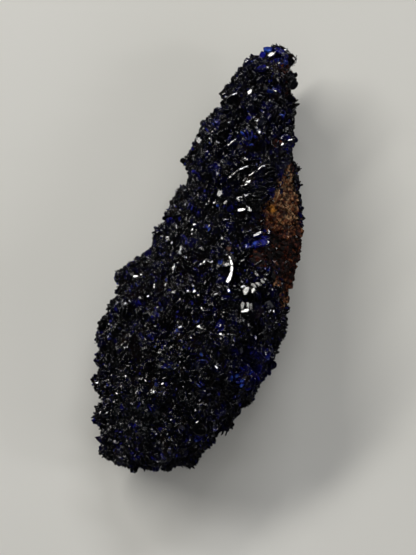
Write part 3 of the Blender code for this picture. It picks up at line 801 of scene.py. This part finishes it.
def tablet(x, y, length, width, way, facing, tint):
    """Adds one tablet: an eight-sided face, a blunt rim, and sides that narrow to its root in the ground."""
    spot, normal, _, _ = ground_tree.ray_cast(Vector((x, y, SKY)) * MM, Vector((0, 0, -1)))
    if spot is None:
        spot, normal, _, _ = ground_tree.find_nearest(Vector((x, y, OVER_TIP)) * MM)
    face = (AS_SEEN @ Vector(facing)).normalized()
    along = AS_SEEN @ Vector((math.cos(math.radians(way)), math.sin(math.radians(way)), 0))
    along = (along - face * along.dot(face)).normalized()
    across = face.cross(along)
    lift = max(LEAST_LIFT, TABLET_LIFT - LIFT_LESS * width)
    middle = spot / MM + normal * TABLET_OUT + Vector((0, 0, lift))
    outline = [(u + draw.uniform(-WANDER_ALONG, WANDER_ALONG), v + draw.uniform(-WANDER_ACROSS, WANDER_ACROSS))
               for u, v in TABLET_OUTLINE]
    loops = []
    for depth, share in ((0.0, 0.86), (RIM_SHARE * width, 1.0), (WAIST_DEPTH, 0.95), (TABLET_ROOT, 0.35)):
        down, rooted = face * min(depth, WAIST_DEPTH), normal * max(0.0, depth - WAIST_DEPTH)
        loops.append([corner(middle + (along * u * length + across * v * width) * share / 2 - down - rooted,
                             tint, (u * 0.45 + v * 0.15, v * 0.35, 0.6 - depth)) for u, v in outline])
    close_loops(larger, loops)


def lath(spine, facing, tint):
    """Adds one long curved crystal with its face in one plane. Its spine is X, Y and width at points along it."""
    face = (AS_SEEN @ Vector(facing)).normalized()
    points = [Vector((x, y, 0)) for x, y, _ in spine]
    heights = []
    for point in points:
        spot = ground_tree.ray_cast((point + Vector((0, 0, SKY))) * MM, Vector((0, 0, -1)))[0]
        heights.append(spot.z / MM + (face.x * point.x + face.y * point.y) / face.z)
    level, root = max(heights) + LATH_LIFT, max(heights) - min(heights) + LATH_LIFT + LATH_BITE
    section = ((-0.8, 0.0), (0.8, 0.0), (1.0, LATH_RIM), (0.5, root), (-0.5, root), (-1.0, LATH_RIM))
    rings = []
    for i, (point, (_, _, width)) in enumerate(zip(points, spine)):
        point.z = level - (face.x * point.x + face.y * point.y) / face.z
        ahead = points[min(i + 1, len(points) - 1)] - points[max(i - 1, 0)]
        side = face.cross(Vector((ahead.x, ahead.y, 0))).normalized() * width / 2
        rings.append([corner(point + side * share - Vector((0, 0, depth)), tint,
                             (i * 0.15, share * 0.12, 0.6 - depth)) for share, depth in section])
    close_loops(larger, rings)


draw = random.Random(29)
for each in TABLETS:
    tablet(*each)
lath(CURVED_LATH, FLASH, 0.4)
bmesh.ops.recalc_face_normals(larger, faces=larger.faces)
bmesh.ops.triangulate(larger, faces=larger.faces)
tablets = new_piece("azurite_tablets", bpy.data.meshes.new("azurite_tablets"))
larger.to_mesh(tablets.data)
larger.free()
tablets.data.materials.append(azurite)
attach(tablets, "root")
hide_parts("azurite_crust")


# ---- Seam grains ----
# Grains of the rock that show through the crust: a thin seam that runs down from the tip, and small spots and
# hollows where the crystals leave the rock bare. They are the rock's own grains, finer along the seam.
SEAM_END = 14  # the seam lies past this Y
SEAM_FINE = 0.42  # the grains' size along it, against that in the hollows
along_seam = [SEAM_FINE if seam_nearness(v.co / MM) > 0 and v.co.y > SEAM_END * MM else 1.0
              for v in ground.data.vertices]
ground.data.attributes["size"].data.foreach_set("value", np.array(along_seam, np.float32))
seam_grains = grow("matrix_seam_grains", ground, shapes=grain_shapes, material=limonite, where="seam",
                   spacing=0.13 * MM, smallest=0.14 * MM, largest=0.38 * MM, few_large=1.4, lean=0.6,
                   sink=-0.08 * MM, squat=1.0, tuft=1.0 * MM, seed=14)
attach(seam_grains, "root")
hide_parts("matrix_rock")


# ---- Floor ----
# A plain pale sheet of card that the specimen lies on. It is matt and faintly mottled, as pressed paper pulp is,
# and wide enough to fill every view.
FLOOR_HALF = 0.4  # in metres
floor_mesh = bpy.data.meshes.new("floor")
floor_mesh.from_pydata([(-FLOOR_HALF, -FLOOR_HALF, 0), (FLOOR_HALF, -FLOOR_HALF, 0), (FLOOR_HALF, FLOOR_HALF, 0),
                        (-FLOOR_HALF, FLOOR_HALF, 0)], [], [(0, 1, 2, 3)])
floor = new_piece("floor", floor_mesh)
card, tree = new_material("pale_card")
coords = add(tree, "ShaderNodeTexCoord").outputs["Object"]
pale = ramp(tree, mottled(tree, coords, 0.02, 2.0), (0.35, "#d9d8d2"), (0.65, "#dfded9"))
# Glossy rays see the card dark grey: a painted dim reflection, so that the crystals' undersides stay dark
mirrored = add(tree, "ShaderNodeLightPath").outputs["Is Glossy Ray"]
sheet = mixed(tree, mirrored, pale, linear("#403e3a"))
shader = add(tree, "ShaderNodeBsdfPrincipled", {"Base Color": sheet, "Roughness": 0.9, "Specular IOR Level": 0.2})
add(tree, "ShaderNodeOutputMaterial", {"Surface": shader.outputs[0]})
floor_mesh.materials.append(card)


# ---- Camera and light ----
# A camera straight above, turned so that the specimen's tip leans to the right. Two bright narrow strips and a
# small box make the flashes. Dim panels stand round them, and two matt lights fill, in an almost dark room.
LENS, SENSOR = 150, 36
FRAME_LENGTH = 50.48  # what the long side of the camera's view covers at the specimen's widest height
WIDEST_HEIGHT = 5.0
CAMERA_SPOT = (-0.25, -1.14)  # X and Y
camera_data = bpy.data.cameras.new("camera")
camera_data.lens = LENS
camera_data.sensor_width = SENSOR
camera_data.clip_start, camera_data.clip_end = 0.01, 5
camera = bpy.data.objects.new("camera", camera_data)
bpy.context.scene.collection.objects.link(camera)
camera.location = Vector((*CAMERA_SPOT, WIDEST_HEIGHT + FRAME_LENGTH * LENS / SENSOR)) * MM
camera.rotation_euler = (0, 0, VIEW_TURN)
bpy.context.scene.camera = camera
bpy.context.scene.view_settings.view_transform = "Standard"


def panel(name, across, up, over, wide, high, radiance, colour, matt=False):
    """An area light that faces the specimen, at a place across, up and over it, as the camera sees it.
    A matt one is polarised, so that it shows in no gloss."""
    light = bpy.data.lights.new(name, "AREA")
    light.shape = "RECTANGLE"
    light.size, light.size_y = wide * MM, high * MM
    light.energy = radiance * math.pi * light.size * light.size_y
    light.color = linear(colour)[:3]
    made = bpy.data.objects.new(name, light)
    bpy.context.scene.collection.objects.link(made)
    made.location = AS_SEEN @ Vector((across, up, over)) * MM
    made.rotation_euler = (made.location - Vector((0, 0, WIDEST_HEIGHT * MM))).to_track_quat("Z", "Y").to_euler()
    made.visible_glossy = not matt


panel("key_strip", -270, 250, 300, 330, 42, 30.0, "#fffdf8")
panel("top_strip", 60, 380, 330, 240, 36, 24.0, "#fbfcff")
panel("right_box", 380, -20, 260, 50, 80, 11.0, "#fbfcff")
panel("right_panel", 430, -100, 150, 360, 260, 0.36, "#f2f4ff")
panel("front_panel", 40, -440, 180, 320, 240, 0.2, "#f2f4ff")
panel("broad_panel", -420, 120, 240, 380, 380, 0.26, "#f2f4ff")
panel("overhead", 0, 40, 420, 420, 420, 0.7, "#fffefa", matt=True)
panel("right_fill", 420, -80, 280, 320, 320, 0.8, "#fffefa", matt=True)
world = bpy.data.worlds.new("room")
world.use_nodes = True
tree = world.node_tree
tree.nodes.clear()
dim = add(tree, "ShaderNodeBackground", {"Color": linear("#6a6a70"), "Strength": 0.035}).outputs[0]
wall = add(tree, "ShaderNodeBackground", {"Color": linear("#bdbbb2"), "Strength": 1.0}).outputs[0]
seen = add(tree, "ShaderNodeLightPath").outputs["Is Camera Ray"]
background = add(tree, "ShaderNodeMixShader", {0: seen, 1: dim, 2: wall})
add(tree, "ShaderNodeOutputWorld", {"Surface": background.outputs[0]})
bpy.context.scene.world = world
